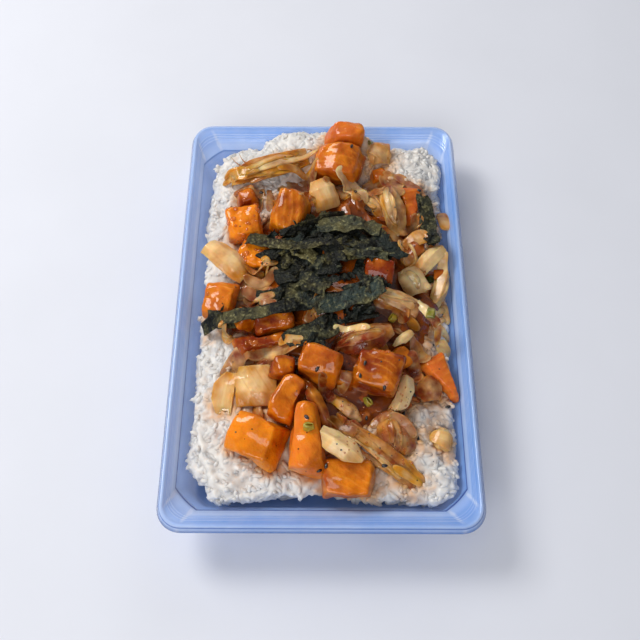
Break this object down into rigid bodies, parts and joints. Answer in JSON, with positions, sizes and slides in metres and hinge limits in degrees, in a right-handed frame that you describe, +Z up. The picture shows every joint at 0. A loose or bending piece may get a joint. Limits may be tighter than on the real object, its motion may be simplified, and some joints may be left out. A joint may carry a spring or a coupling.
{
  "type": "poke bowl",
  "caption": "Poke bowl to take away: dressed salmon cubes, onion and stem slices and torn nori on white rice, in a shallow rectangular plastic tray with a folded brim",
  "frame": {"origin": "middle of the tray's underside, on the surface it stands on", "axes": "+X to the eater's right, +Y away from the eater along the tray's long side, +Z up"},
  "size_m": [0.1334, 0.213, 0.046],
  "materials": {
    "tray_plastic": "glossy translucent blue sheet",
    "rice": "moist satin",
    "sauce_onion": "wet gloss",
    "salmon": "wet gloss",
    "stem_slice": "moist gloss",
    "onion_slice": "moist gloss",
    "nori": "dry, slightly sheened"
  },
  "bodies": {
    "root": {"tray": "tray_plastic", "rice": "rice", "onion_bed": "sauce_onion", "salmon_back_small": "salmon", "salmon_left_back": "salmon", "salmon_under_nori": "salmon", "salmon_left_long": "salmon", "salmon_left_strip": "salmon", "salmon_mid_small": "salmon", "salmon_left_edge": "salmon", "salmon_back_peak": "salmon", "salmon_back_block": "salmon", "salmon_ribbed": "salmon", "salmon_left_beaded": "salmon", "salmon_left_front": "salmon", "salmon_right_back": "salmon", "salmon_middle": "salmon", "salmon_mid_right": "salmon", "salmon_slab": "salmon", "salmon_right_edge": "salmon", "salmon_front_long": "salmon", "salmon_front_left": "salmon", "salmon_front_tall": "salmon", "salmon_front_edge": "salmon", "stem_left_petal": "stem_slice", "stem_left_folded": "stem_slice", "stem_square": "stem_slice", "stem_back_wedge": "stem_slice", "stem_right_diamond": "stem_slice", "stem_right_pale": "stem_slice", "stem_right_tip": "stem_slice", "stem_ridged": "stem_slice", "stem_white_strip": "stem_slice", "stem_small_oval": "stem_slice", "stem_right_chunk": "stem_slice", "stem_right_triangle": "stem_slice", "stem_curled": "stem_slice", "stem_cream_petal": "stem_slice", "onion_back_sheaf": "onion_slice", "onion_left_sheet": "onion_slice", "onion_left_arc": "onion_slice", "onion_brown_wide": "onion_slice", "onion_brown_front": "onion_slice", "onion_right_strip": "onion_slice", "onion_back_chunk": "onion_slice", "stem_right_petal_back": "onion_slice", "stem_right_petal": "onion_slice", "onion_front_diagonal": "onion_slice", "onion_mid_sliver": "onion_slice", "onion_front_long": "onion_slice", "nori_front_dark": "nori", "nori_front_torn": "nori", "nori_left_patch": "nori", "nori_left_strip": "nori", "nori_dark_patch": "nori", "nori_crown": "nori", "nori_blue_strip": "nori", "nori_back_strip": "nori", "nori_back_edge": "nori", "nori_right_strip": "nori"}
  },
  "joints": []
}
